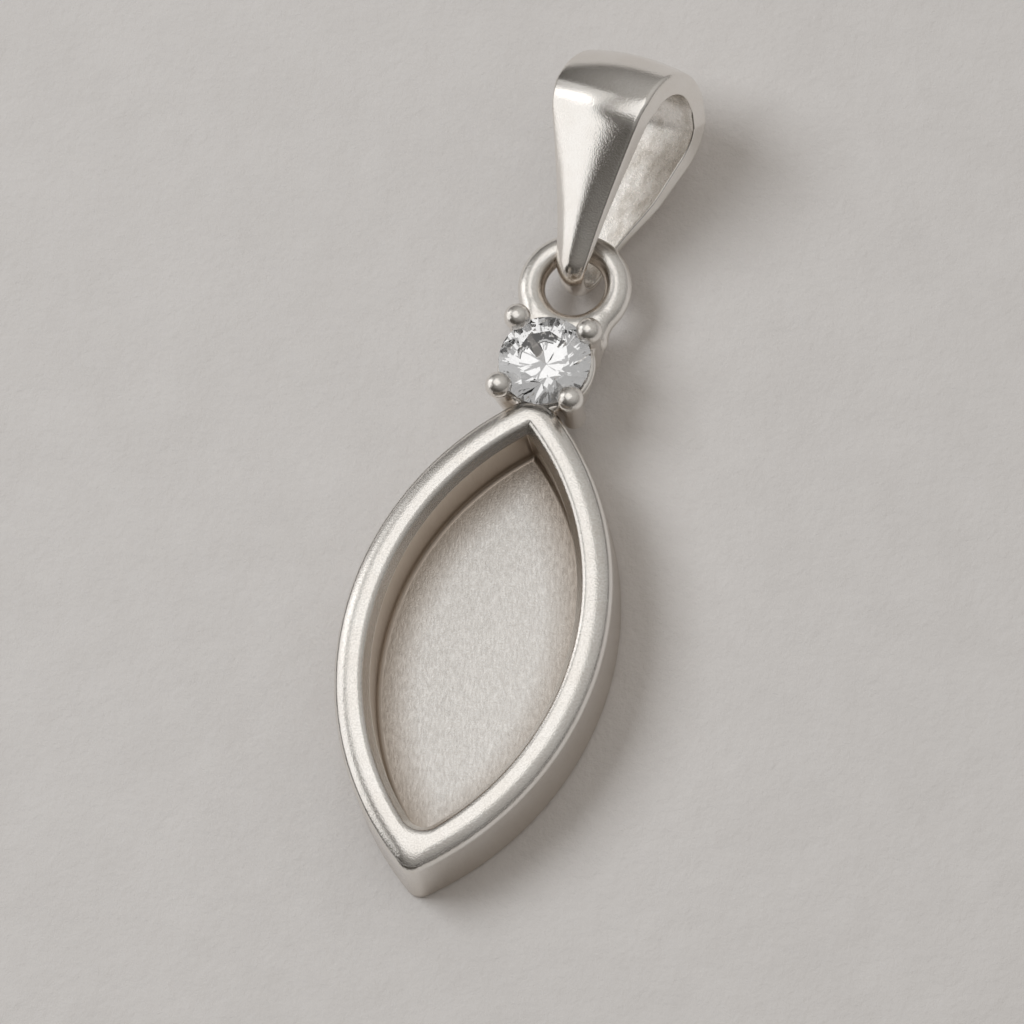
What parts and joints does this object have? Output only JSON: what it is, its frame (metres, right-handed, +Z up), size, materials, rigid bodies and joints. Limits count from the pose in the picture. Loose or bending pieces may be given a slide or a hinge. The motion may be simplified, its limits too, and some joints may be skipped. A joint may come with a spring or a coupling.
{
  "type": "bezel pendant setting",
  "caption": "Marquise bezel cup for a cabochon, with a prong-set round stone above it, a soldered ring and a loose tapered bail for a chain.",
  "frame": {"origin": "middle of the cup's flat back, on the surface that the pendant lies on", "axes": "+Z up out of the recess, +Y along the pendant towards the bail, +X across the cup"},
  "size_m": [0.0096, 0.0323, 0.0062],
  "materials": {
    "silver": "sterling silver, satin polished",
    "stone": "clear cubic zirconia, faceted and polished"
  },
  "bodies": {
    "pendant": {"setting": "silver", "stone": "stone"},
    "bail": {"bail": "silver"}
  },
  "joints": [
    {"name": "bail_swing", "type": "hinge", "parent": "pendant", "child": "bail", "pos_m": [0.00022, 0.01569, 0.00165], "axis": [0.9257, -0.1828, 0.3313], "range_deg": [-115, 80]}
  ]
}
